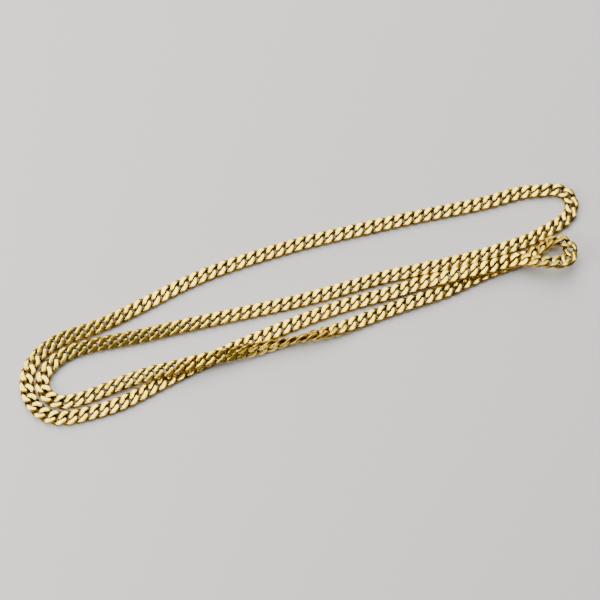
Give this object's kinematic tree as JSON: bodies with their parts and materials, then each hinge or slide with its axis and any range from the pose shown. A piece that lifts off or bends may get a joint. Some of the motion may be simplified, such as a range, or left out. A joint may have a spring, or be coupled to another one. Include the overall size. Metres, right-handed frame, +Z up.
{
  "type": "curb chain necklace",
  "caption": "Endless filed curb chain necklace lying on a surface in two nested bights, with a folded right end.",
  "frame": {"origin": "centre of the lying chain's bounding box, on the surface it rests on", "axes": "+X along the strands towards the folded end, +Y towards the strand that lies apart, +Z up"},
  "size_m": [0.1384, 0.0628, 0.006],
  "materials": {
    "chain_metal": "polished, with satin filed flats"
  },
  "bodies": {
    "root": {"outer_chain": "chain_metal", "inner_chain": "chain_metal"}
  },
  "joints": []
}
